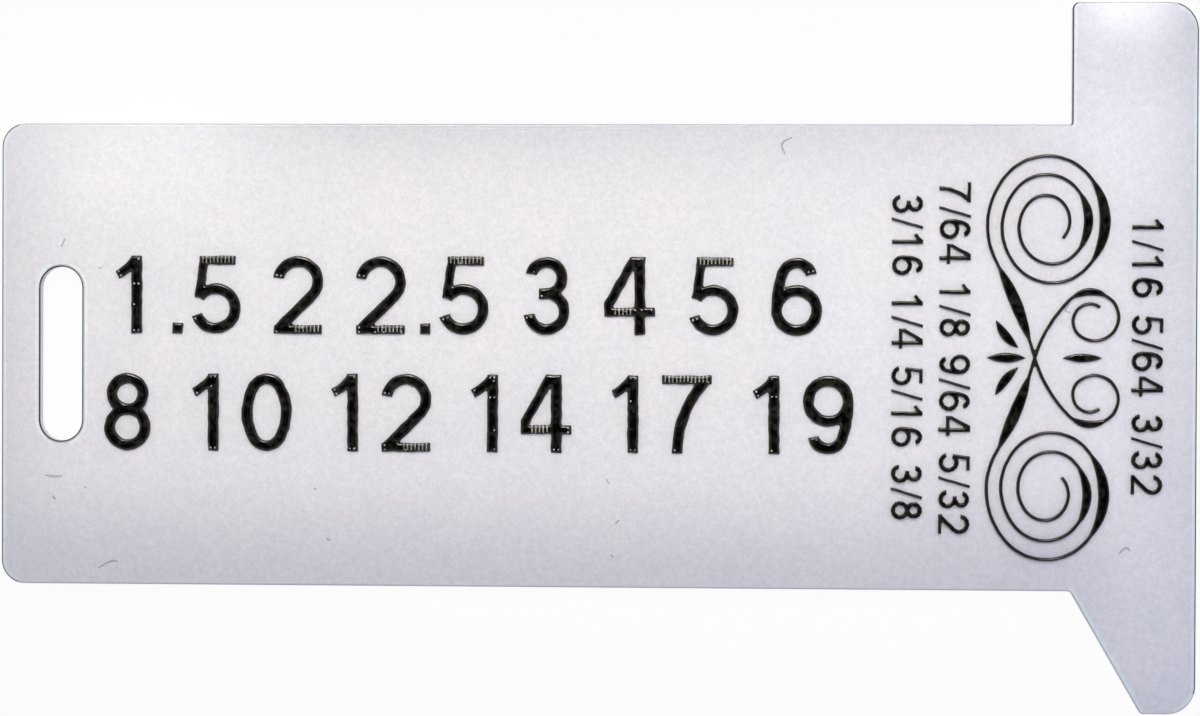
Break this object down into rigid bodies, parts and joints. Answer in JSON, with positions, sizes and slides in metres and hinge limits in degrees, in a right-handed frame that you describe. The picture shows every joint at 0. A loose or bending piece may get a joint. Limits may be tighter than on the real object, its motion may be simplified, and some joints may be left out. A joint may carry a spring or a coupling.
{
  "type": "hex key gauge",
  "caption": "Flat T-headed printed plate with a lanyard slot, a square and a 120 degree notch, and raised rows of key sizes.",
  "frame": {"origin": "middle of the bounding box on the plate's back face, which lies on the table", "axes": "+X along the plate from the lanyard slot to the T-head, +Y across it towards the arm with the square notch, +Z out of the marked face"},
  "size_m": [0.127, 0.075, 0.002],
  "materials": {
    "white_plastic": "satin printed plastic, fine grained",
    "black_plastic": "glossy raised strands"
  },
  "bodies": {
    "root": {"gauge_plate": "white_plastic", "metric_row_upper": "black_plastic", "metric_row_lower": "black_plastic", "inch_row_inner": "black_plastic", "inch_row_middle": "black_plastic", "inch_row_outer": "black_plastic", "pen_flourish": "black_plastic"}
  },
  "joints": []
}
